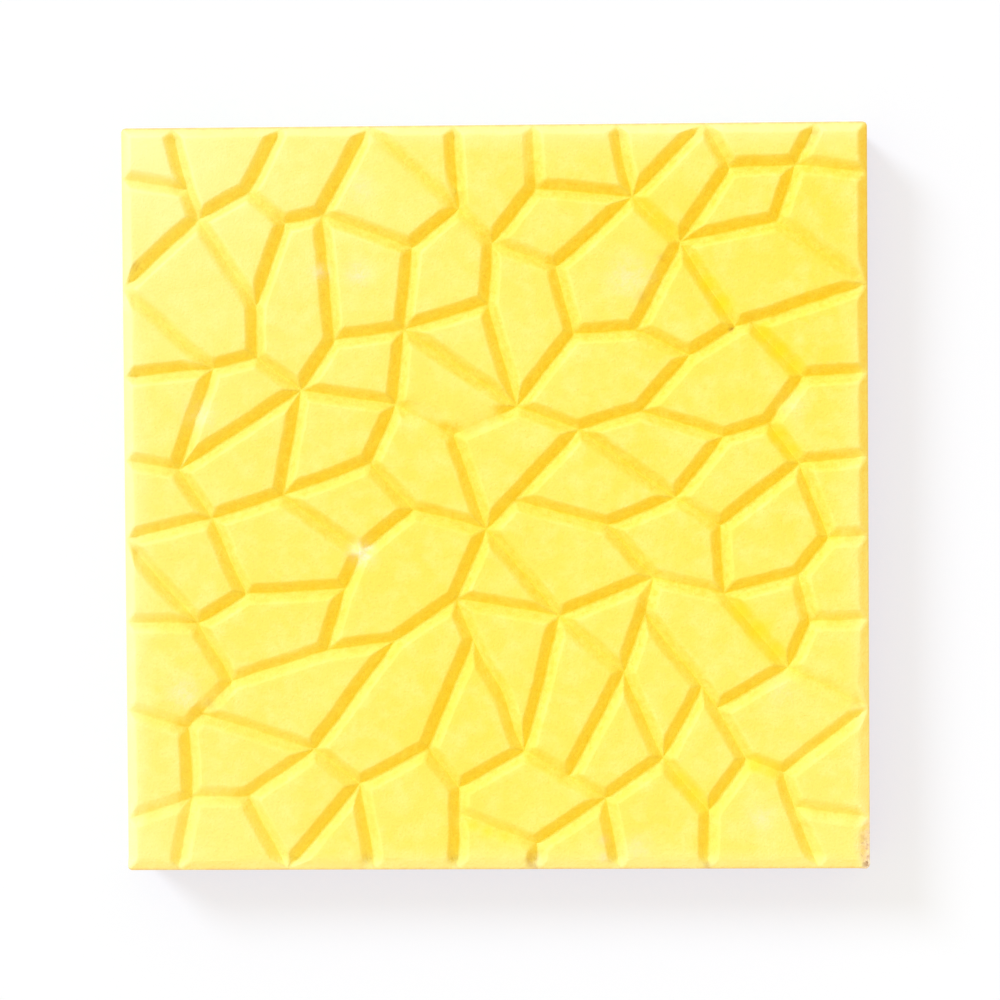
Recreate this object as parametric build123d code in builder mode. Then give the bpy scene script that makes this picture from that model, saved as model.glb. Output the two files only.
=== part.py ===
from build123d import *
import math
import os

# Driving dimensions, in millimetres and degrees.
tile_length = 300.0
tile_width = 300.0
tile_thickness = 30.0
corner_radius = 2.0
side_draft = 1.5
groove_width = 8.5
groove_depth = 4.0

# The groove pattern is drawn on a square of this side and fitted to the tile's face.
pattern_side = 300.0

# Where grooves run out at an edge, from either end of it. All four edges share these places,
# so the grooves run on into the next tile whichever way round it is laid.
edge_joints = [20.5, 65.0, 100.5, 134.0]

# Where grooves meet inside the face, from its lower left corner: row by row from the top down,
# left to right in a row. A joint is named by its row and its place in the row, as in a1.
inner_joints = {
    "a": [(26.5, 275), (51.5, 274), (167, 274.5), (206, 270.5), (245, 282), (271, 283)],
    "b": [(31, 263), (66, 261), (81, 264.5), (117, 251), (136, 266.5), (149.5, 252.5), (175, 243),
          (225, 252.5), (263.5, 260.5)],
    "c": [(54, 228), (85.5, 214), (113.5, 218), (147.5, 228), (182, 216), (207, 217), (247, 218),
          (253, 220)],
    "d": [(36.5, 203), (54, 207), (72, 194), (110, 188), (159, 187), (208.5, 185), (228.5, 207),
          (274, 198)],
    "e": [(22, 162), (99.5, 164.5), (133.5, 175.5), (184, 177.5), (242, 174), (260, 179.5), (272.5, 163)],
    "f": [(35.5, 142.5), (64, 151.5), (117, 145.5), (146.5, 137.5), (157.5, 149), (195.5, 138.5),
          (222.5, 149.5), (240.5, 138.5)],
    "g": [(49, 111.5), (89, 114), (95.5, 128.5), (134, 109.5), (213.5, 117.5), (242, 111),
          (271.5, 118.5), (284, 133.5)],
    "h": [(29.5, 100), (81.5, 89), (109, 92.5), (140.5, 93), (175.5, 102), (210, 103.5), (276.5, 99.5)],
    "i": [(25, 57.5), (30.5, 63.5), (43, 76.5), (201.5, 79.5), (233, 73.5), (239, 64.5), (267.5, 81)],
    "j": [(76, 48.5), (122, 49), (161, 47.5), (217, 44.5), (250.5, 44)],
    "k": [(26.5, 29.5), (49, 29.5), (94.5, 34.5), (134.5, 33), (179, 37), (194, 28.5), (265.5, 38.5)],
    "l": [(134.5, 22.5), (166, 10), (235.5, 23), (270, 24.5)],
}

# The grooves, each a run from joint to joint. T, R, B and L are the joints along the top, right,
# bottom and left edges, numbered from the left or from the top.
grooves = [
    "L1 a1 T1", "a1 b1 a2 T2", "L2 b1 c1 b2 a2", "b2 b3 T3 b5 T4", "b3 b4 b5 b6 a3 T5", "a3 a4 T6",
    "b6 b7 a4 T7 a5 a6 T8", "a4 b8 a5", "R1 a6 b9 b8", "b9 R2",
    "L2 d1 d2 c1", "L3 d1 e1 d3 d2", "b3 c2 d3", "c2 c3 b4", "c3 c4 b6", "b7 c5 c6 b8 c7 c8 R2",
    "c6 d7 c7", "c8 d8 R3",
    "L4 e1 f1", "d3 d4 c3 d5 c4", "d3 f2 e2 d4 e3 d5 c5", "d5 e4 d6 d7", "d6 e5 e6 d8", "e6 e7 R4",
    "L5 f1 f2 g3 f3 e2", "f3 f4 e3", "f4 f5 e4 f7 e5", "f5 f6 f7 f8 e7 g8 R5", "L5 h1 g1 f1",
    "g1 g2 g3", "f6 g5 g6 f8", "g6 g7 g8",
    "L6 h1 i3 h2 g2", "h2 h3 g4 f4 h5 g4", "h5 g5 h6 i4 h5", "g7 h7 R6", "g6 i7 h7", "i7 R7",
    "h6 i5 i6 i7",
    "L7 i1 i2 i3", "i1 k1 k2 j1 i2", "h3 j1 k3 j2 h4 g4", "h4 j3 h5", "j2 k4 j3 k5 i4 j4 i5",
    "k5 k6 j4 l3 j5 i6", "j5 k7 R7",
    "L8 k1 B1", "k2 B2 k3 B3", "k4 l1 B4", "l1 l2 B5", "l2 k6 B6", "l3 B7", "k7 l4 B8", "l4 R8",
]

# The face's own outline, where the outermost stones end.
outline = [
    "top_left T1 T2 T3 T4 T5 T6 T7 T8 top_right R1 R2 R3 R4 R5 R6 R7 R8 bottom_right",
    "bottom_right B8 B7 B6 B5 B4 B3 B2 B1 bottom_left L8 L7 L6 L5 L4 L3 L2 L1 top_left",
]

groove_floor = tile_thickness - groove_depth
draft_inset = groove_floor * math.tan(math.radians(side_draft))
face_length = tile_length - 2 * draft_inset
face_width = tile_width - 2 * draft_inset


def named_joints():
    """Every joint by name, at the height of the groove floor."""
    drawn = {
        "top_left": (0, pattern_side),
        "top_right": (pattern_side, pattern_side),
        "bottom_left": (0, 0),
        "bottom_right": (pattern_side, 0),
    }
    for row, places in inner_joints.items():
        for number, place in enumerate(places, 1):
            drawn[f"{row}{number}"] = place
    along = edge_joints + [pattern_side - distance for distance in reversed(edge_joints)]
    for number, distance in enumerate(along, 1):
        drawn[f"T{number}"] = (distance, pattern_side)
        drawn[f"B{number}"] = (distance, 0)
        drawn[f"L{number}"] = (0, pattern_side - distance)
        drawn[f"R{number}"] = (pattern_side, pattern_side - distance)
    joints = {}
    for name, (across, up) in drawn.items():
        x = (across / pattern_side - 0.5) * face_length
        y = (up / pattern_side - 0.5) * face_width
        joints[name] = Vector(x, y, groove_floor)
    return joints


def stone_feet(joints):
    """The outline of each stone between the grooves, found by walking round it with it on the left."""
    neighbours = {name: set() for name in joints}
    for run in grooves + outline:
        names = run.split()
        for start, end in zip(names, names[1:]):
            neighbours[start].add(end)
            neighbours[end].add(start)

    def bearing(start, end):
        way = joints[end] - joints[start]
        return math.atan2(way.Y, way.X)

    walked = set()
    feet = []
    for start, end in sorted((start, end) for start in neighbours for end in neighbours[start]):
        foot = []
        while (start, end) not in walked:
            walked.add((start, end))
            foot.append(joints[start])
            around = sorted(neighbours[end], key=lambda name: bearing(end, name))
            start, end = end, around[around.index(start) - 1]
        doubled_area = sum(foot[i - 1].X * foot[i].Y - foot[i].X * foot[i - 1].Y for i in range(len(foot)))
        if doubled_area > 0:
            feet.append(foot)
    return feet


def stone_top(foot):
    """The corners of a stone's flat top: its foot with every side drawn in by half a groove."""
    top = []
    for before, corner, after in zip(foot[-1:] + foot[:-1], foot, foot[1:] + foot[:1]):
        in_from_last = (corner - before).normalized().rotate(Axis.Z, 90)
        in_from_next = (after - corner).normalized().rotate(Axis.Z, 90)
        mitre = (in_from_last + in_from_next) / (1 + in_from_last.dot(in_from_next))
        top.append(corner + mitre * (groove_width / 2) + Vector(0, 0, groove_depth))
    return top


def stone_solid(foot):
    """One flat-topped stone with sloping sides, standing on the groove floor."""
    top = stone_top(foot)
    faces = [Face(Wire.make_polygon(foot)), Face(Wire.make_polygon(top))]
    for i in range(len(foot)):
        faces.append(Face(Wire.make_polygon([foot[i - 1], foot[i], top[i], top[i - 1]])))
    return Solid(Shell(faces))


with BuildPart() as paving_tile:
    with BuildSketch():
        Rectangle(tile_length, tile_width)
    extrude(amount=groove_floor, taper=side_draft)
    add([stone_solid(foot) for foot in stone_feet(named_joints())])
    with BuildSketch():
        RectangleRounded(tile_length, tile_width, corner_radius)
    extrude(amount=tile_thickness, taper=side_draft, mode=Mode.INTERSECT)

paving_tile.part.label = "paving_tile"
os.makedirs("parts", exist_ok=True)
export_step(paving_tile.part, "parts/paving_tile.step")
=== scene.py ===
import math

import bmesh
import bpy
import numpy as np
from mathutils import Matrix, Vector, geometry, noise


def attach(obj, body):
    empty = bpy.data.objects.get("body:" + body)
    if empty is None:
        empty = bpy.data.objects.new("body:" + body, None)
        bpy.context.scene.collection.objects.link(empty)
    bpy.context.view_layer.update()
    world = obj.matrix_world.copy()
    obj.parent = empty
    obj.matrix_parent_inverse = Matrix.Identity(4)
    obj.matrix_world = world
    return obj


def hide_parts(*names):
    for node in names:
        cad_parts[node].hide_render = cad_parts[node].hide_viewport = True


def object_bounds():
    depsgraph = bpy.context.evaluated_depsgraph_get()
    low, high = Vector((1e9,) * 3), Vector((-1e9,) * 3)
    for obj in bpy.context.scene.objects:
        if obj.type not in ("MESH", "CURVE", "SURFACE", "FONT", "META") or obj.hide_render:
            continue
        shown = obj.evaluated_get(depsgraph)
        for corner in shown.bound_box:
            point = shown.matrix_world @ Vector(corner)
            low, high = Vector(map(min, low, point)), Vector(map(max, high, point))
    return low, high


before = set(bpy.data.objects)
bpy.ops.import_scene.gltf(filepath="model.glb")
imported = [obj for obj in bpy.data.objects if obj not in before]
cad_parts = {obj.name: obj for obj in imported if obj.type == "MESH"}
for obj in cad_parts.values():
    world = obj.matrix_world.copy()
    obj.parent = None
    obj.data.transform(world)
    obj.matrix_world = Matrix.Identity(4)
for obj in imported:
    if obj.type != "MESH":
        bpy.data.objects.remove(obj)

cad_low, cad_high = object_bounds()

# Sizes are in millimetres, as in the part's source, and mm turns them into metres.
mm = 0.001
groove_width = 8.5
groove_depth = 4.0
side_draft = 1.5
corner_radius = 2.0

# How far the cast edges are rounded, and how finely the walls and tops are divided.
valley_rounding = 0.4
# How far from each groove's valley its painted shade reaches.
valley_shade_reach = 1.2
arris_rounding = 0.54
rim_rounding = 1.2
rim_wear = 0.3
wall_rows = [0, 0.2, 0.4, 1.2, 2.5, 3.71, 3.98, 4.25, 4.52, 4.79]
side_rows = [25 - 1.5 * row for row in range(16)] + [0.8]
step_along = 1.6
step_on_top = 2.0
step_on_back = 5.5
back_rounding = 0.4
weld_distance = 0.01

face_height = cad_high.z / mm
floor_height = face_height - groove_depth
half_groove = groove_width / 2
wall_slope = groove_depth / half_groove
half_back = cad_high.x / mm
half_rim = half_back - floor_height * math.tan(math.radians(side_draft))

# How the walls wander in plan: how far, the size of the features, and what is added to the seeds,
# which are for x and y. Near the border it fades over the given reach.
wanders = [(0.45, 16, 0), (0.18, 5, 20)]
wander_seeds = (3.1, 7.7)
border_reach = 6.0

# Unevenness of the tops, the sides and the back: how much, the size of its features, and a seed.
top_swells = [(0.16, 22, 11.3), (0.05, 4, 5.9)]
side_dents = [(0.12, 14, 2.7), (0.06, 4, 8.3)]
dent_fade = 5.0
back_hollows = [(1.0, 18, 6.1), (0.5, 7, 9.4)]
hollow_depth = 0.5

# How far in from the left, top, right and bottom edges the border's slope runs on across the
# ends of the grooves.
border_strips = [1.0, 1.0, 0.2, 0.2]
strip_fade = 4.0

# How much of the wall's painted shade the border's slope takes, and how much of it a worn groove loses.
border_groove_shade = 0.3
worn_groove_shade_loss = 0.85

# Grooves whose upper wall is worn to a long soft slope: their ends, the slope's reach and depth.
worn_grooves = [
    (Vector((-16.5, 25.5)), Vector((4.5, 35.0)), 11.0, 1.0),
    (Vector((-37.5, 36.2)), Vector((-19.0, 26.8)), 9.0, 2.4),
]

# Grooves that are cast shallower than the rest: the ends, x and y, and the share that is filled.
shallow_grooves = [
    (-150.0, -129.5, -123.5, -120.5, 0.65),
    (-150.0, -85.0, -125.0, -92.5, 0.6),
    (-150.0, -49.5, -120.5, -50.0, 0.5),
    (-150.0, 85.0, -113.5, 53.0, 0.45),
    (-150.0, 129.5, -123.5, 125.0, 0.45),
    (-98.5, 124.0, -84.0, 111.0, 0.45),
    (-123.5, 125.0, -119.0, 113.0, 0.3),
    (-119.0, 113.0, -96.0, 78.0, 0.4),
    (-69.0, 114.5, -33.0, 101.0, 0.25),
    (-49.5, 150.0, -14.0, 116.5, 0.55),
    (-14.0, 116.5, -0.5, 102.5, 0.45),
    (-0.5, 102.5, 25.0, 93.0, 0.4),
    (85.0, 150.0, 95.0, 132.0, 0.3),
    (121.0, 133.0, 150.0, 129.5, 0.4),
    (17.0, 124.5, 16.0, 150.0, 0.45),
    (-150.0, 16.0, -128.0, 12.0, 0.35),
    (-150.0, -16.0, -114.5, -7.5, 0.25),
    (-125.0, -92.5, -119.5, -86.5, 0.65),
    (-119.5, -86.5, -107.0, -73.5, 0.6),
    (-119.5, -86.5, -74.0, -101.5, 0.3),
    (-107.0, -73.5, -68.5, -61.0, 0.35),
    (-101.0, -120.5, -74.0, -101.5, 0.25),
    (11.0, -102.5, 29.0, -113.0, 0.3),
    (29.0, -113.0, 44.0, -121.5, 0.3),
    (25.5, -48.0, 51.5, -70.5, 0.3),
    (122.5, 13.0, 150.0, 16.0, 0.3),
    (60.0, -46.5, 63.5, -32.5, 0.4),
    (100.5, -106.0, 115.5, -111.5, 0.3),
    (115.5, -111.5, 150.0, -85.0, 0.35),
    (121.5, -31.5, 126.5, -50.5, 0.3),
    (63.5, -32.5, 92.0, -39.0, 0.35),
    (72.5, -0.5, 90.5, -11.5, 0.35),
    (113.5, 110.5, 150.0, 85.0, 0.4),
    (134.0, -16.5, 150.0, -16.0, 0.5),
    (126.5, -50.5, 150.0, -49.5, 0.5),
    (117.5, -69.0, 150.0, -85.0, 0.7),
    (120.0, -125.5, 150.0, -129.5, 0.55),
    (-123.5, -120.5, -129.5, -150.0, 0.5),
    (-123.5, -120.5, -101.0, -120.5, 0.5),
    (-15.5, -127.5, 16.0, -140.0, 0.4),
]
# How the filling fades towards the groove's ends, and beside the groove.
shallow_fade = 5.0
shallow_margin = 2.5

# How much higher the rim stands than the groove floor along the left, top, right and bottom edges:
# at the edge's bottom or left end, and at its top or right end.
rim_rises = [(0.3, 0.3), (0.3, 0.3), (2.5, 0.3), (2.7, 2.7)]

# Air voids in the sides: how many, their smallest and largest radius, and depth as a share of it.
void_count = 46
void_radii = (1.2, 2.3)
void_depth = 0.5
void_seed = 7

# Grooves that bow a little: x, y, radius, and how far the place is moved in x and y.
bows = [
    (0.8, -79.8, 13, 1.8, 0.8),
    (52.8, 135.0, 8, -0.5, -0.1),
]

# Places on the face, in millimetres from its middle: x, y, radius, and a strength or a depth.
# Lumps of concrete left in the grooves, filled to just below the face.
lump_drop = 0.4
lumps = [
    (-53.8, -21.5, 2.6, 0.85),
    (-69.5, 91.0, 2.4, 0.6),
    (-122.4, 32.0, 2.6, 0.4),
    (65.0, 87.0, 2.4, 0.6),
    (115.5, 34.5, 2.8, 0.6),
    (60.8, -25.6, 2.4, 0.5),
    (-116.0, -82.5, 2.4, 0.3),
]
# Notches and chips at the border, and one small pit where grooves meet, with a depth.
notches = [
    (14.3, -146.0, 1.8, 1.6),
    (-17.6, -146.4, 1.6, 1.0),
    (-53.0, -147.0, 1.6, 0.7),
    (47.0, -146.0, 2.2, 0.8),
    (147.8, -133.5, 1.2, 0.6),
    (147.4, -138.0, 1.4, 0.8),
    (147.6, -142.5, 1.4, 0.9),
    (148.2, -146.8, 1.5, 1.1),
    (95.0, 67.0, 0.9, 0.7),
]
# Pale scuffs.
pale_spots = [
    (-53.8, -21.5, 4.5, 1.0),
    (-69.5, 91.0, 3.2, 0.8),
    (-54.0, 90.0, 4.5, 0.6),
    (-53.0, 124.0, 5.0, 0.35),
    (54.0, 88.0, 8.0, 0.45),
    (-118.5, 34.0, 6.5, 0.45),
    (119.0, 36.0, 5.0, 0.3),
    (114.0, -78.0, 6.0, 0.25),
    (106.0, -129.0, 5.0, 0.42),
    (56.7, -140.4, 5.0, 0.35),
    (-125.5, -78.0, 6.0, 0.5),
]
# Where the yellow is deeper: faintly over three wide areas, and strongly in a few grooves.
deep_spots = [
    (-10.0, -20.0, 60.0, 0.1),
    (0.0, -95.0, 55.0, 0.12),
    (95.0, 95.0, 50.0, 0.07),
    (98.0, -46.0, 5.5, 0.85),
    (105.0, -54.0, 6.0, 0.95),
    (112.0, -62.0, 5.0, 0.85),
    (108.0, 65.0, 4.5, 0.95),
    (114.0, 58.5, 5.0, 1.0),
    (120.0, 52.0, 4.5, 0.75),
    (80.0, 93.5, 4.0, 0.6),
    (85.0, 85.0, 4.5, 0.9),
    (91.0, 77.0, 4.5, 1.0),
    (61.0, 116.0, 4.5, 0.55),
    (66.0, 111.0, 5.0, 0.65),
    (71.0, 106.5, 4.5, 0.5),
    (104.0, -107.5, 4.5, 0.85),
    (110.0, -109.5, 4.5, 0.75),
    (113.0, 24.5, 4.5, 0.85),
    (118.0, 18.5, 4.0, 0.75),
    (74.0, -114.0, 4.5, 0.8),
    (79.0, -120.0, 4.5, 0.9),
    (83.0, -124.5, 4.0, 0.75),
    (-10.0, -132.0, 3.0, 0.7),
    (-4.0, -134.0, 3.0, 0.6),
    (3.0, -136.5, 3.0, 0.45),
]
# Brown stains.
brown_spots = [
    (14.8, -142.0, 1.3, 0.2),
    (13.2, -143.6, 1.4, 0.35),
    (12.6, -145.6, 1.4, 0.55),
    (13.2, -147.4, 1.4, 0.75),
    (15.0, -148.8, 1.3, 0.6),
    (-18.2, -145.0, 2.2, 0.25),
    (-52.8, -145.0, 2.4, 0.25),
    (46.1, -140.4, 2.2, 0.12),
    (45.7, -145.7, 1.8, 0.15),
    (84.3, -148.0, 1.6, 0.55),
    (129.0, 145.0, 2.2, 0.25),
    (126.5, 140.5, 1.8, 0.2),
    (63.5, 88.0, 2.0, 0.15),
    (59.0, 80.0, 2.0, 0.3),
    (66.5, 96.0, 1.6, 0.3),
    (-143.5, 94.0, 1.4, 0.55),
    (95.0, 67.0, 0.6, 0.9),
    (-115.5, -82.0, 2.0, 0.3),
    (-111.0, -78.0, 2.0, 0.1),
]
# Dark specks at the lower right corner.
speck_spots = [
    (147.6, -136.0, 1.6, 0.45),
    (147.2, -140.0, 1.6, 0.7),
    (147.6, -143.5, 1.6, 0.9),
    (148.0, -147.3, 1.7, 1.0),
]
# Broken concrete, paler than the face.
chip_spots = [
    (148.6, -131.5, 1.8, 0.5),
    (148.2, -136.0, 2.6, 0.8),
    (147.8, -140.5, 2.8, 0.9),
    (148.0, -145.0, 2.6, 0.9),
    (148.4, -148.2, 2.0, 0.8),
    (15.2, -145.4, 1.8, 0.4),
    (42.9, -137.6, 2.0, 0.4),
    (42.5, -144.5, 2.0, 0.4),
]

# The painted shade in the grooves, a deeper yellow on both walls: its strength at the lower left,
# what is added up to the top and the right edges, the share that is lost at the border and how far
# in that reaches, and the depths, as shares of the groove's, at which it starts and is full.
groove_shade_strength = 0.48
groove_shade_rise_up = 0.4
groove_shade_rise_across = 0.12
groove_shade_border_loss = 0.35
groove_shade_border_reach = 15
groove_shade_start = 0.07
groove_shade_full = 0.29

# The rusty line at the rim: its width, and its strength at the right edge.
rim_line_width = 0.7
rim_line_right = 0.4

# How far below the rim the face's marks fade out.
face_fade = 4.0

# Features of the material, by size: noise from coarse to fine, and the spacing of pinholes.
cloud_size = 45
blotch_size = 9
patch_size = 3.0
sand_size = 1.1
grit_size = 0.45
pinhole_spacing = 6

# How deep the sand, the grit and the pinholes are.
sand_relief = 0.25
grit_relief = 0.12
pinhole_relief = 0.6

# Colours of the concrete, and of the light and shade painted on it.
plain_yellow = (0.98, 0.795, 0.08, 1)
light_yellow = (0.98, 0.845, 0.14, 1)
blotch_yellow = (0.98, 0.885, 0.21, 1)
patch_yellow = (0.98, 0.77, 0.1, 1)
sand_colour = (0.93, 0.65, 0.09, 1)
# Painted shade in the grooves: a deeper yellow on the walls, with darker mottled and sandy yellows in
# it.
groove_shade_yellow = (0.98, 0.83, 0.1, 1)
mottled_shade_yellow = (0.97, 0.69, 0.035, 1)
sandy_shade_yellow = (0.93, 0.6, 0.05, 1)
# A deep yellow for the listed spots, also used as painted shade along the grooves' valleys.
deep_yellow_and_valley_shade = (0.98, 0.79, 0.015, 1)
# Painted light: a paler yellow along the edges and over the upper left corner.
painted_light_yellow = (0.98, 0.98, 0.49, 1)
scuff_colour = (0.97, 0.89, 0.6, 1)
rust_colour = (0.85, 0.5, 0.2, 1)
broken_colour = (0.97, 0.72, 0.55, 1)
brown_colour = (0.62, 0.34, 0.1, 1)
speck_colour = (0.4, 0.2, 0.08, 1)
side_colour = (0.84, 0.7, 0.26, 1)
side_sand = (0.72, 0.56, 0.14, 1)
# Painted shade in the pinholes.
pinhole_shade = (0.72, 0.5, 0.08, 1)

# The floor: its half size and its drop below the tile in metres, its own colour, and the light
# that the camera alone adds to make it white.
floor_half = 9.0
floor_drop = 0.0001
floor_colour = (0.76, 0.47, 0.245)
floor_glow = (0.14, 0.495, 0.76)

# The light: a soft lamp from the upper left, and a fill that is paler on the lamp's side.
key_azimuth = math.radians(139)
key_height = math.radians(34)
key_distance = 3.0
key_spread = math.radians(19)
key_energy = 3.48
key_colour = (0.226, 0.42, 1.0)
fill_far_colour = (1.0, 0.68, 0.33, 1)
fill_near_colour = (1.0, 0.98, 0.43, 1)

# The camera, in metres and degrees, with its lens and sensor in millimetres.
camera_place = (0.02324, 0.02134, 0.97425)
camera_turn = (-1.35, 1.279, -0.379)
camera_lens = 85
camera_sensor = 36


# The mesh of the tile

def sides(corners):
    """The sides of a closed loop of corners, as pairs."""
    return list(zip(corners, corners[1:] + corners[:1]))


def is_top(face):
    """Whether a face of the solid lies in the plane of the stones' tops."""
    return min(corner.co.z for corner in face.verts) / mm > face_height - weld_distance


def stone_tops(node):
    """The corners of each stone's flat top in the solid, anticlockwise, in millimetres."""
    solid = bmesh.new()
    solid.from_mesh(node.data)
    bmesh.ops.remove_doubles(solid, verts=solid.verts, dist=weld_distance * mm)
    bmesh.ops.dissolve_faces(solid, faces=[face for face in solid.faces if is_top(face)])
    tops = [[corner.co.xy / mm for corner in face.verts] for face in solid.faces if is_top(face)]
    solid.free()
    return tops


def inward(start, end):
    """The unit vector to the left of a side, which is into the stone."""
    along = (end - start).normalized()
    return Vector((-along.y, along.x))


def mitres(corners):
    """How each corner moves for every millimetre that its two sides move inwards."""
    moves = []
    for (before, here), (_, after) in zip(sides(corners[-1:] + corners[:-1]), sides(corners)):
        first = inward(before, here)
        second = inward(here, after)
        moves.append((first + second) / (1 + first.dot(second)))
    return moves


def inside(points, loop):
    """Which of the points lie inside a closed loop of corners."""
    x, y = points[:, 0], points[:, 1]
    result = np.zeros(len(points), bool)
    for start, end in sides(loop):
        crossed = np.nonzero((start.y > y) != (end.y > y))[0]
        at = start.x + (end.x - start.x) * (y[crossed] - start.y) / (end.y - start.y)
        result[crossed] ^= x[crossed] < at
    return result


def lattice(loop, step):
    """A triangular lattice of points over a loop's box."""
    low_x, high_x = min(p.x for p in loop), max(p.x for p in loop)
    low_y, high_y = min(p.y for p in loop), max(p.y for p in loop)
    points = []
    for row, y in enumerate(np.arange(low_y, high_y, step * math.sqrt(0.75))):
        for x in np.arange(low_x + step / 2 * (row % 2), high_x, step):
            points.append((x, y))
    return np.array(points)


def filled(edge, within, step):
    """Points spread inside a loop, and the triangles that join them to the loop's own points."""
    points = lattice(edge, step)
    spread = [Vector(p) for p in points[inside(points, within)]]
    loop = list(range(len(edge)))
    found = geometry.delaunay_2d_cdt(edge + spread, [], [loop], 1, 1e-6)
    triangles = [tuple(found[3][corner][0] for corner in face) for face in found[2]]
    return spread, triangles


def stone_mesh(top):
    """One stone: its points, how far each is from the groove's middle, and its faces."""
    moves = mitres(top)

    def ring(distance):
        return [corner + move * (distance - half_groove) for corner, move in zip(top, moves)]

    steps = [max(1, round((end - start).length / step_along)) for start, end in sides(ring(0))]
    around = sum(steps)
    points, distances, faces = [], [], []
    for distance in wall_rows:
        for (start, end), count in zip(sides(ring(distance)), steps):
            points += [start.lerp(end, n / count) for n in range(count)]
        distances += [distance] * around
    for row in range(len(wall_rows) - 1):
        outer, inner = row * around, (row + 1) * around
        for n in range(around):
            m = (n + 1) % around
            faces.append((outer + n, outer + m, inner + m, inner + n))
    first = len(points) - around
    spread, triangles = filled(points[first:], ring(wall_rows[-1] + step_on_top / 2), step_on_top)
    points += spread
    distances += [2 * half_groove] * len(spread)
    faces += [tuple(first + corner for corner in face) for face in triangles]
    return points, distances, faces


def face_mesh():
    """All the stones of the face, as one set of points, distances and faces."""
    points, distances, faces = [], [], []
    for top in stone_tops(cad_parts["paving_tile"]):
        more_points, more_distances, more_faces = stone_mesh(top)
        start = len(points)
        points += more_points
        distances += more_distances
        faces += [tuple(start + corner for corner in face) for face in more_faces]
    return np.array(points), np.array(distances), faces


def noise_at(points, size, seed):
    """Smooth noise from about -1 to 1, with features of that size, at each point."""
    return np.array([noise.noise(Vector(p) / size + Vector((seed, -seed, seed))) for p in points])


def unevenness(points, rows):
    """Depths from zero up at each point, from noise of several sizes."""
    return sum(amount * (1 + noise_at(points, size, seed)) for amount, size, seed in rows)


def flat_3d(points):
    """Points of the plan as points in space at height zero."""
    return np.column_stack([points, np.zeros(len(points))])


def spot_strength(points, spots):
    """How strongly the nearest of the listed places marks each point, from 0 to 1."""
    result = np.zeros(len(points))
    for x, y, radius, strength in spots:
        away = np.hypot(points[:, 0] - x, points[:, 1] - y)
        result = np.maximum(result, strength * np.exp(-(away / radius) ** 2))
    return result


def round_corners(points):
    """Brings the points that lie outside the tile's rounded corners back onto them."""
    middle = half_rim - corner_radius
    beyond = np.maximum(np.abs(points) - middle, 0)
    reach = np.hypot(beyond[:, 0], beyond[:, 1])
    outside = (beyond.min(axis=1) > 0) & (reach > corner_radius)
    pulled = beyond[outside] * (corner_radius / reach[outside])[:, None]
    points[outside] = np.sign(points[outside]) * (middle + pulled)


def wall_height(distance, at_border):
    """Height above the groove's floor, with the valley, the arris and the tile's rim rounded."""
    height = np.minimum(wall_slope * distance, groove_depth)
    valley = wall_slope * (distance ** 2 + valley_rounding ** 2) / (2 * valley_rounding)
    height = np.where((distance < valley_rounding) & ~at_border, valley, height)
    to_top = half_groove + arris_rounding - distance
    arris = groove_depth - wall_slope * to_top ** 2 / (4 * arris_rounding)
    height = np.where((to_top > 0) & (to_top < 2 * arris_rounding), arris, height)
    worn = rim_wear * np.maximum(1 - distance / rim_rounding, 0) ** 2
    return height - np.where(at_border, worn, 0)


def edge_gaps(points):
    """How far each point is from the left, top, right and bottom edges of the face."""
    x, y = points[:, 0], points[:, 1]
    return [x + half_rim, half_rim - y, half_rim - x, y + half_rim]


def share_along(places):
    """How far places lie along the face, from 0 at its left or bottom edge to 1 at the other."""
    return np.clip((places / half_rim + 1) / 2, 0, 1)


def close_groove_ends(points):
    """Runs the border's slope on across the ends of the grooves, by the width of its strip."""
    gaps = np.array(edge_gaps(points))
    slope = floor_height + wall_slope * gaps.min(axis=0)
    for gap, strip in zip(gaps, border_strips):
        share = np.clip((strip + strip_fade - gap) / strip_fade, 0, 1)
        share = share * share * (3 - 2 * share)
        points[:, 2] += share * np.maximum(slope - points[:, 2], 0)


def raise_rim(points):
    """Flattens the border's slope by raising its foot, more at the bottom and the lower right."""
    across, up = (share_along(points[:, axis]) for axis in (0, 1))
    for gap, (first, last), share in zip(edge_gaps(points), rim_rises, (up, across, up, across)):
        rise = first + (last - first) * share
        points[:, 2] += rise * np.clip(1 - gap / half_groove, 0, 1)
    points[:, 2] = np.minimum(points[:, 2], face_height)


def along_and_away(points, start, end):
    """How far each point is along a line, as a share of its length, and how far to its left."""
    length = (end - start).length
    along = (end - start) / length
    dx, dy = points[:, 0] - start.x, points[:, 1] - start.y
    return (dx * along.x + dy * along.y) / length, dy * along.x - dx * along.y


def filled_share(points):
    """The share of the groove's depth that is filled at each point, from 0 to 1."""
    result = np.zeros(len(points))
    for start_x, start_y, end_x, end_y, share in shallow_grooves:
        start, end = Vector((start_x, start_y)), Vector((end_x, end_y))
        run, away = along_and_away(points, start, end)
        to_end = np.minimum(run, 1 - run) * (end - start).length
        beyond = np.abs(away) - half_groove
        fade = np.clip(to_end / shallow_fade, 0, 1) * np.clip(1 - beyond / shallow_margin, 0, 1)
        result = np.maximum(result, share * fade)
    return result


def wear_groove(points, start, end, reach, depth):
    """Wears a groove's upper wall to a long slope, fills its valley, and returns where it is worn."""
    run, away = along_and_away(points, start, end)
    share = np.clip(5 * run, 0, 1) * np.clip(5 * (1 - run), 0, 1)
    slope = face_height - depth * np.clip(1 - away / reach, 0, 1) ** 2
    beside = np.minimum(points[:, 2], slope)
    worn = np.where(away > half_groove + 1, beside, slope)
    worn = np.where(away > 0, worn, np.maximum(points[:, 2], face_height - depth))
    share = np.where((away > reach) | (away < -half_groove), 0, share)
    points[:, 2] += share * (worn - points[:, 2])
    return share


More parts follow.
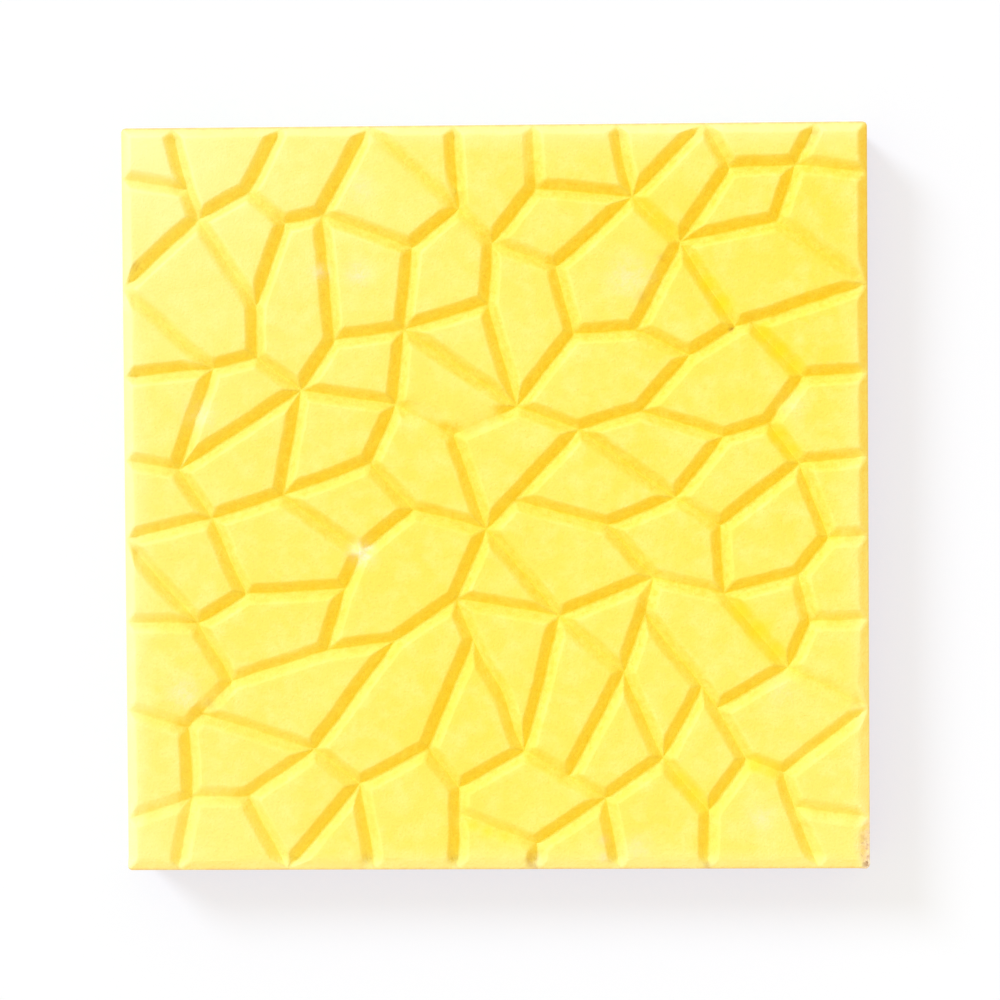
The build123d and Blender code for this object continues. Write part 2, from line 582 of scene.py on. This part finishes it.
def tile_mesh():
    """The points of the whole tile in millimetres, its faces, and the marks on each point."""
    flat, distances, faces = face_mesh()
    to_border = half_rim - np.abs(flat).max(axis=1)
    at_border = to_border < distances + weld_distance
    rim = sorted({(round(x, 3), round(y, 3)) for x, y in flat[(distances == 0) & at_border]},
                 key=lambda p: math.atan2(p[1], p[0]))
    height = floor_height + wall_height(distances, at_border)
    groove = np.clip((face_height - height) / groove_depth, 0, 1)
    at_right = half_rim - flat[:, 0] < to_border + weld_distance
    # The border's slope takes only a share of the grooves' painted shade, with more of it up the right
    # edge.
    border_share = np.where(at_right, border_groove_shade + share_along(flat[:, 1]), border_groove_shade)
    groove *= np.where(at_border, np.minimum(border_share, 1), 1)
    # Painted shade along each groove's valley, fading out over its reach, and none at the border.
    valley = np.where(at_border, 0, np.clip(1 - distances / valley_shade_reach, 0, 1))

    round_corners(flat)
    points = np.column_stack([flat, height])
    level = flat_3d(flat)
    inner = np.clip(to_border / border_reach, 0, 1)
    for axis, seed in enumerate(wander_seeds):
        for amount, size, added in wanders:
            points[:, axis] += inner * amount * noise_at(level, size, seed + added)
    for x, y, radius, move_x, move_y in bows:
        share = np.exp(-(np.hypot(flat[:, 0] - x, flat[:, 1] - y) / radius) ** 2)
        points[:, 0] += share * move_x
        points[:, 1] += share * move_y
    full = filled_share(points)
    groove *= 1 - full
    points[:, 2] += full * np.maximum(face_height - points[:, 2], 0) * inner
    close_groove_ends(points)
    raise_rim(points)
    # A worn groove loses most of its walls' painted shade.
    for groove_values in worn_grooves:
        groove *= 1 - worn_groove_shade_loss * wear_groove(points, *groove_values)
    points[:, 2] -= unevenness(level, top_swells)
    fill = spot_strength(points, lumps)
    points[:, 2] += fill * (face_height - lump_drop - points[:, 2])
    for x, y, radius, depth in notches:
        away = np.hypot(points[:, 0] - x, points[:, 1] - y)
        points[:, 2] -= depth * np.exp(-(away / radius) ** 2)

    rim_points = np.array(rim)
    round_corners(rim_points)
    return points, faces, groove, valley * groove, rim_points


def side_mesh(rim):
    """The drafted sides and the flat back below the rim, as points and faces."""
    around = len(rim)
    rows = [rim * (half_back + (half_rim - half_back) * z / floor_height) / half_rim for z in side_rows]
    points = [np.column_stack([row, np.full(around, z)]) for row, z in zip(rows, side_rows)]
    back = rows[-1] * (1 - back_rounding / half_back)
    points.append(np.column_stack([back, np.zeros(around)]))
    faces = []
    for row in range(len(side_rows)):
        upper, lower = row * around, (row + 1) * around
        for n in range(around):
            m = (n + 1) % around
            faces.append((upper + m, upper + n, lower + n, lower + m))
    edge = [Vector(p) for p in back]
    within = [p * (1 - step_on_back / half_back) for p in edge]
    spread, triangles = filled(edge, within, step_on_back)
    first = len(side_rows) * around
    points.append(np.array([(p.x, p.y, 0) for p in spread]))
    faces += [tuple(first + corner for corner in reversed(face)) for face in triangles]
    points = np.concatenate(points)
    dents = unevenness(points, side_dents)
    chance = np.random.default_rng(void_seed)
    for middle in chance.choice(points[:first], void_count):
        radius = chance.uniform(*void_radii)
        away = np.linalg.norm(points - middle, axis=1)
        dents += void_depth * radius * np.exp(-(away / radius) ** 4)
    dents *= np.clip((floor_height - points[:, 2]) / dent_fade, 0, 1)
    outward = np.sign(points[:, :2]) * (np.abs(points[:, :2]) > half_rim - corner_radius)
    points[:, :2] -= dents[:, None] * outward
    on_back = len(points) - len(spread)
    hollows = sum(amount * noise_at(points[on_back:], size, seed) for amount, size, seed in back_hollows)
    points[on_back:, 2] = hollow_depth * np.clip(hollows, 0, 1)
    return points, faces


def on_face(points):
    """1 on the face and 0 on the sides and the back, with a soft step below the rim."""
    return np.clip((points[:, 2] - floor_height + face_fade) / face_fade, 0, 1)


def painted_edge_light(points):
    """Painted light, a paler yellow along the tile's edges, strongest at the left and the top, from 0 to
    1.
    """
    left, top, right, bottom = edge_gaps(points)
    painted_light = np.zeros(len(points))
    # The distance from an edge or a corner, how far in the painted light reaches, and how strong it is
    # there.
    for gap, reach, strength in (
        (left, 8, 1.0),
        (left, 60, 0.24),
        (top, 7, 0.8),
        (right, 5, 1.0 - 0.65 * share_along(points[:, 1])),
        (bottom, 5, 0.75),
        (np.hypot(left, top), 75, 0.9),
        (np.hypot(left, bottom), 70, 0.45),
        (np.hypot(right, bottom), 60, 0.3),
    ):
        painted_light = np.maximum(painted_light, strength * np.exp(-np.maximum(gap, 0) / reach))
    return painted_light * on_face(points)


def painted_groove_shade(points, groove):
    """The painted shade on the grooves' walls, a deeper yellow, strongest at the top right and weaker
    near the edges.
    """
    nearest = np.min(edge_gaps(points), axis=0)
    strength = groove_shade_strength + groove_shade_rise_up * share_along(points[:, 1])
    strength += groove_shade_rise_across * share_along(points[:, 0])
    strength *= 1 - groove_shade_border_loss * np.exp(-np.maximum(nearest, 0) / groove_shade_border_reach)
    return strength * np.clip((groove - groove_shade_start) / (groove_shade_full - groove_shade_start), 0, 1)


def rim_line(points):
    """The thin rusty line along the rim at the top and bottom, and fainter at the right."""
    _, top, right, bottom = edge_gaps(points)
    across = np.exp(-(np.minimum(top, bottom) / rim_line_width) ** 2)
    upright = rim_line_right * np.exp(-(right / rim_line_width) ** 2)
    return np.maximum(across, upright) * on_face(points)


def build_tile():
    """The tile as one closed mesh, with the marks of casting and use, and painted light and shade,
    stored on its points.
    """
    points, faces, groove, valley, rim = tile_mesh()
    side_points, side_faces = side_mesh(rim)
    start = len(points)
    around = len(rim)
    rim_index = [int(np.argmin(np.hypot(points[:, 0] - x, points[:, 1] - y))) for x, y in rim]
    for n in range(around):
        m = (n + 1) % around
        faces.append((rim_index[m], rim_index[n], start + n, start + m))
    faces += [tuple(start + corner for corner in face) for face in side_faces]
    points = np.concatenate([points, side_points])
    groove, valley = (np.concatenate([mark, np.zeros(len(side_points))]) for mark in (groove, valley))

    mesh = bpy.data.meshes.new("concrete_tile")
    mesh.from_pydata([tuple(p) for p in points * mm], [], faces)
    # Of these marks, the deeper yellow on the grooves' walls and along their valleys is painted shade,
    # and the paler yellow along the edges is painted light.
    marks = {
        "groove_shade": painted_groove_shade(points, groove),
        "valley": valley,
        "pale": spot_strength(points, pale_spots) * on_face(points),
        "deep": spot_strength(points, deep_spots) * on_face(points),
        "painted_light": painted_edge_light(points),
        "rim": rim_line(points),
        "brown": spot_strength(points, brown_spots) * on_face(points),
        "specks": spot_strength(points, speck_spots) * on_face(points),
        "chipped": spot_strength(points, chip_spots) * on_face(points),
        "side": 1 - on_face(points),
    }
    for name, values in marks.items():
        mesh.attributes.new(name, "FLOAT", "POINT").data.foreach_set("value", values)
    welded = bmesh.new()
    welded.from_mesh(mesh)
    bmesh.ops.remove_doubles(welded, verts=welded.verts, dist=weld_distance * mm)
    loose = [v for v in welded.verts if not v.link_faces]
    bmesh.ops.delete(welded, geom=loose, context="VERTS")
    welded.to_mesh(mesh)
    welded.free()
    mesh.shade_smooth()
    tile = bpy.data.objects.new("concrete_tile", mesh)
    bpy.context.scene.collection.objects.link(tile)
    return tile


# Materials

class Nodes:
    """A material's node tree, with short calls for the nodes that are used here."""

    def __init__(self, material):
        material.use_nodes = True
        self.tree = material.node_tree
        self.tree.nodes.clear()

    def add(self, kind, **values):
        node = self.tree.nodes.new(kind)
        for name, value in values.items():
            setattr(node, name, value)
        return node

    def link(self, source, target):
        self.tree.links.new(source, target)

    def put(self, socket, value):
        """Links a socket to another, or sets a plain number or colour on it."""
        if isinstance(value, bpy.types.NodeSocket):
            self.link(value, socket)
        else:
            socket.default_value = value

    def math(self, operation, first, second):
        node = self.add("ShaderNodeMath", operation=operation)
        self.put(node.inputs[0], first)
        self.put(node.inputs[1], second)
        return node.outputs[0]

    def mix(self, factor, first, second, blend="MIX"):
        node = self.add("ShaderNodeMix", data_type="RGBA", blend_type=blend)
        self.put(node.inputs["Factor"], factor)
        for name, value in (("A", first), ("B", second)):
            colour = [s for s in node.inputs if s.name == name and s.type == "RGBA"][0]
            self.put(colour, value)
        return [s for s in node.outputs if s.type == "RGBA"][0]

    def ramp(self, value, low, high, at_low=0.0, at_high=1.0):
        node = self.add("ShaderNodeMapRange")
        self.put(node.inputs["Value"], value)
        self.put(node.inputs["From Min"], low)
        self.put(node.inputs["From Max"], high)
        self.put(node.inputs["To Min"], at_low)
        self.put(node.inputs["To Max"], at_high)
        return node.outputs[0]

    def noise(self, place, size, detail=3.0, roughness=0.5):
        """Noise with features of a size in millimetres."""
        node = self.add("ShaderNodeTexNoise")
        self.link(place, node.inputs["Vector"])
        self.put(node.inputs["Scale"], 1 / (size * mm))
        self.put(node.inputs["Detail"], detail)
        self.put(node.inputs["Roughness"], roughness)
        return node.outputs["Fac"]

    def first_part(self, colour):
        """The first of a colour's three parts."""
        node = self.add("ShaderNodeSeparateColor")
        self.link(colour, node.inputs[0])
        return node.outputs[0]

    def attribute(self, name):
        return self.add("ShaderNodeAttribute", attribute_name=name).outputs["Fac"]

    def bump(self, height, distance, normal=None):
        node = self.add("ShaderNodeBump")
        self.put(node.inputs["Distance"], distance * mm)
        self.link(height, node.inputs["Height"])
        if normal:
            self.link(normal, node.inputs["Normal"])
        return node.outputs["Normal"]


def concrete_material():
    """Yellow-pigmented concrete: mottled, sandy, a few brown stains, and painted light and shade."""
    material = bpy.data.materials.new("yellow_concrete")
    n = Nodes(material)
    place = n.add("ShaderNodeTexCoord").outputs["Object"]
    clouds = n.noise(place, cloud_size, 4.0)
    blotches = n.noise(place, blotch_size, 4.0, 0.6)
    patches = n.noise(place, patch_size, 4.0, 0.6)
    sand = n.noise(place, sand_size, 3.0, 0.65)
    grit = n.noise(place, grit_size, 2.0, 0.6)

    colour = n.mix(n.ramp(clouds, 0.3, 0.7), plain_yellow, light_yellow)
    colour = n.mix(n.ramp(blotches, 0.42, 0.72), colour, blotch_yellow)
    colour = n.mix(n.ramp(patches, 0.5, 0.75, 0.0, 0.55), colour, patch_yellow)
    colour = n.mix(n.ramp(sand, 0.55, 0.8, 0.0, 0.7), colour, sand_colour)
    # Painted shade in the grooves: a deeper yellow on both walls, darker in mottled patches and grains
    # of sand.
    groove_shade = n.attribute("groove_shade")
    colour = n.mix(n.ramp(groove_shade, 0.0, 1.0, 0.0, 0.8), colour, groove_shade_yellow)
    mottled_shade = n.math("MULTIPLY", groove_shade, n.ramp(patches, 0.4, 0.65, 0.0, 0.8))
    colour = n.mix(mottled_shade, colour, mottled_shade_yellow)
    sandy_shade = n.math("MULTIPLY", groove_shade, n.ramp(sand, 0.5, 0.68, 0.0, 0.5))
    colour = n.mix(sandy_shade, colour, sandy_shade_yellow)
    # A deeper yellow in the listed spots, and painted shade along the valleys at 0.4 of the valley mark.
    deep = n.math("MAXIMUM", n.attribute("deep"), n.math("MULTIPLY", n.attribute("valley"), 0.4))
    colour = n.mix(deep, colour, deep_yellow_and_valley_shade)
    # Painted light along the edges, weaker in the grooves.
    painted_light = n.math("MULTIPLY", n.attribute("painted_light"), n.ramp(groove_shade, 0.0, 1.0, 1.0, 0.3))
    colour = n.mix(painted_light, colour, painted_light_yellow)
    pale = n.math("MULTIPLY", n.attribute("pale"), n.ramp(patches, 0.35, 0.6, 0.35, 1.0))
    colour = n.mix(pale, colour, scuff_colour)
    rust = n.math("MULTIPLY", n.attribute("rim"), n.ramp(patches, 0.3, 0.6, 0.2, 0.6))
    colour = n.mix(rust, colour, rust_colour)
    chipped = n.math("MULTIPLY", n.attribute("chipped"), n.ramp(patches, 0.3, 0.55, 0.5, 1.0))
    colour = n.mix(chipped, colour, broken_colour)
    brown = n.math("MULTIPLY", n.attribute("brown"), n.ramp(patches, 0.3, 0.55, 0.7, 1.0))
    colour = n.mix(brown, colour, brown_colour)
    specks = n.math("MULTIPLY", n.attribute("specks"), n.ramp(patches, 0.5, 0.58))
    colour = n.mix(specks, colour, speck_colour)

    side = n.attribute("side")
    dull = n.math("MULTIPLY", side, n.ramp(blotches, 0.35, 0.7, 0.15, 0.75))
    colour = n.mix(dull, colour, side_colour)
    speckled = n.math("MULTIPLY", side, n.ramp(sand, 0.5, 0.72, 0.0, 0.6))
    colour = n.mix(speckled, colour, side_sand)
    cells = n.add("ShaderNodeTexVoronoi")
    n.link(place, cells.inputs["Vector"])
    n.put(cells.inputs["Scale"], 1 / (pinhole_spacing * mm))
    few = n.math("GREATER_THAN", n.first_part(cells.outputs["Color"]), 0.6)
    hole = n.math("MULTIPLY", n.ramp(cells.outputs["Distance"], 0.06, 0.1, 1.0, 0.0), few)
    hole = n.math("MULTIPLY", hole, side)
    # Painted shade in the pinholes on the sides and the back.
    colour = n.mix(n.math("MULTIPLY", hole, 0.5), colour, pinhole_shade)

    shader = n.add("ShaderNodeBsdfPrincipled")
    n.link(colour, shader.inputs["Base Color"])
    n.link(n.ramp(grit, 0.3, 0.7, 0.82, 0.95), shader.inputs["Roughness"])
    shader.inputs["Specular IOR Level"].default_value = 0.25
    normal = n.bump(sand, sand_relief)
    normal = n.bump(grit, grit_relief, normal)
    normal = n.bump(n.math("SUBTRACT", 1.0, hole), pinhole_relief, normal)
    n.link(normal, shader.inputs["Normal"])
    output = n.add("ShaderNodeOutputMaterial")
    n.link(shader.outputs[0], output.inputs["Surface"])
    return material


def seen_directly(n):
    """1 for what the camera sees directly, in gloss or through glass, and 0 for light on the object."""
    path = n.add("ShaderNodeLightPath").outputs
    direct = n.math("MAXIMUM", path["Is Camera Ray"], path["Is Glossy Ray"])
    return n.math("MAXIMUM", direct, path["Is Transmission Ray"])


def floor_material():
    """A pale floor that keeps the tile's shadow: part of its white is its own for the camera."""
    material = bpy.data.materials.new("pale_floor")
    n = Nodes(material)
    matt = n.add("ShaderNodeBsdfDiffuse")
    matt.inputs["Color"].default_value = (*floor_colour, 1)
    glow = n.add("ShaderNodeEmission")
    glow.inputs["Color"].default_value = (*floor_glow, 1)
    n.link(seen_directly(n), glow.inputs["Strength"])
    both = n.add("ShaderNodeAddShader")
    n.link(matt.outputs[0], both.inputs[0])
    n.link(glow.outputs[0], both.inputs[1])
    output = n.add("ShaderNodeOutputMaterial")
    n.link(both.outputs[0], output.inputs["Surface"])
    return material


# The tile itself

tile = build_tile()
tile.data.materials.append(concrete_material())
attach(tile, "root")
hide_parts("paving_tile")

# Floor, light and camera

floor_mesh = bpy.data.meshes.new("floor")
square = ((-1, -1), (1, -1), (1, 1), (-1, 1))
floor_corners = [(x * floor_half, y * floor_half, -floor_drop) for x, y in square]
floor_mesh.from_pydata(floor_corners, [], [(0, 1, 2, 3)])
floor = bpy.data.objects.new("floor", floor_mesh)
floor.data.materials.append(floor_material())
bpy.context.scene.collection.objects.link(floor)

world = bpy.data.worlds.new("studio")
bpy.context.scene.world = world
w = Nodes(world)
fill = w.add("ShaderNodeBackground")
towards = w.add("ShaderNodeVectorMath", operation="DOT_PRODUCT")
w.link(w.add("ShaderNodeTexCoord").outputs["Generated"], towards.inputs[0])
towards.inputs[1].default_value = (math.cos(key_azimuth), math.sin(key_azimuth), 0)
key_side = w.ramp(towards.outputs["Value"], -1.0, 1.0)
w.link(w.mix(key_side, fill_far_colour, fill_near_colour), fill.inputs["Color"])
white = w.add("ShaderNodeBackground")
choice = w.add("ShaderNodeMixShader")
white.inputs["Color"].default_value = (1, 1, 1, 1)
w.link(seen_directly(w), choice.inputs[0])
w.link(fill.outputs[0], choice.inputs[1])
w.link(white.outputs[0], choice.inputs[2])
w.link(choice.outputs[0], w.add("ShaderNodeOutputWorld").inputs["Surface"])

key_lamp = bpy.data.lights.new("key", "SUN")
key_lamp.angle = key_spread
key_lamp.energy = key_energy
key_lamp.color = key_colour
key = bpy.data.objects.new("key", key_lamp)
across = math.cos(key_height) * key_distance
key.location = (
    across * math.cos(key_azimuth),
    across * math.sin(key_azimuth),
    math.sin(key_height) * key_distance,
)
key.rotation_euler = (-key.location).to_track_quat("-Z", "Y").to_euler()
bpy.context.scene.collection.objects.link(key)

camera_data = bpy.data.cameras.new("camera")
camera_data.lens = camera_lens
camera_data.sensor_width = camera_sensor
camera = bpy.data.objects.new("camera", camera_data)
camera.location = camera_place
camera.rotation_euler = [math.radians(angle) for angle in camera_turn]
bpy.context.scene.collection.objects.link(camera)
bpy.context.scene.camera = camera
bpy.context.scene.view_settings.view_transform = "Standard"

bpy.context.view_layer.update()
